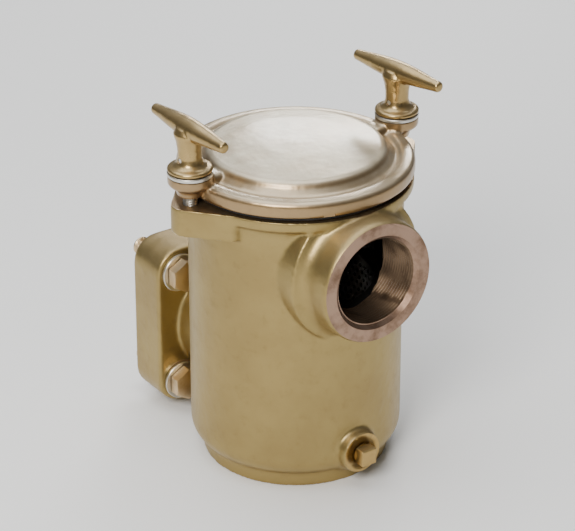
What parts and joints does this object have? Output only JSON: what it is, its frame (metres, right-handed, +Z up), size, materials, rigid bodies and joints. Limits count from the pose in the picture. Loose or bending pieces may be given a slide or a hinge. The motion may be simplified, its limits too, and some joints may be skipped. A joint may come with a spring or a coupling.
{
  "type": "basket strainer",
  "caption": "Cast bronze basket strainer: round pot with a T-handle screwed cover, threaded side inlet, square bolted outlet flange and lift-out perforated basket.",
  "frame": {"origin": "centre of the pot's flat foot, on the pot's axis", "axes": "+Z up along the pot's axis; -Y out of the threaded inlet; +Y out of the outlet flange, towards the pump; the two hand screws stand at +X and -X"},
  "size_m": [0.1843, 0.21, 0.2485],
  "materials": {
    "body_bronze": "satin",
    "cover_bronze": "matte",
    "handle_bronze": "satin",
    "plug_bronze": "satin",
    "screw_bronze": "satin",
    "stainless": "satin",
    "basket_steel": "satin",
    "gasket_rubber": "matte"
  },
  "bodies": {
    "root": {"strainer_body": "body_bronze", "cover_gasket": "gasket_rubber", "drain_plug": "plug_bronze", "outlet_gasket": "gasket_rubber", "flange_screw_low_left": "screw_bronze", "flange_screw_high_left": "screw_bronze", "flange_screw_low_right": "screw_bronze", "flange_screw_high_right": "screw_bronze", "flange_washer_low_left": "stainless", "flange_washer_high_left": "stainless", "flange_washer_low_right": "stainless", "flange_washer_high_right": "stainless"},
    "cover": {"cover": "cover_bronze"},
    "left_washer": {"left_thrust_washer": "stainless"},
    "left_screw": {"left_t_handle": "handle_bronze", "left_stud": "stainless", "left_stud_pin": "stainless"},
    "right_washer": {"right_thrust_washer": "stainless"},
    "right_screw": {"right_t_handle": "handle_bronze", "right_stud": "stainless", "right_stud_pin": "stainless"},
    "basket": {"basket_rim": "basket_steel", "basket_screen": "basket_steel", "basket_bottom": "basket_steel", "bail_tab_left": "basket_steel", "bail_tab_right": "basket_steel"},
    "bail": {"basket_bail": "basket_steel"}
  },
  "joints": [
    {"name": "cover_lift", "type": "slide", "parent": "root", "child": "cover", "axis": [0, 0, 1], "range_m": [0, 0.5]},
    {"name": "left_screw_rise", "type": "slide", "parent": "cover", "child": "left_washer", "axis": [0, 0, 1], "range_m": [0, 0.00992]},
    {"name": "left_screw_spin", "type": "hinge", "parent": "left_washer", "child": "left_screw", "pos_m": [-0.078, 0, 0.22], "axis": [0, 0, 1], "range_deg": [0, 2251]},
    {"name": "right_screw_rise", "type": "slide", "parent": "cover", "child": "right_washer", "axis": [0, 0, 1], "range_m": [0, 0.00992]},
    {"name": "right_screw_spin", "type": "hinge", "parent": "right_washer", "child": "right_screw", "pos_m": [0.078, 0, 0.22], "axis": [0, 0, 1], "range_deg": [0, 2251]},
    {"name": "basket_lift", "type": "slide", "parent": "root", "child": "basket", "axis": [0, 0, 1], "range_m": [0, 0.301]},
    {"name": "bail_swing", "type": "hinge", "parent": "basket", "child": "bail", "pos_m": [0, 0, 0.1245], "axis": [1, 0, 0], "range_deg": [0, 175]}
  ],
  "couplings": [
    {"joint": "left_screw_spin", "follows": "left_screw_rise", "rad_per_m": 3957.9},
    {"joint": "right_screw_spin", "follows": "right_screw_rise", "rad_per_m": 3957.9},
    {"joint": "basket_lift", "follows": "cover_lift", "ratio": 0.6}
  ]
}
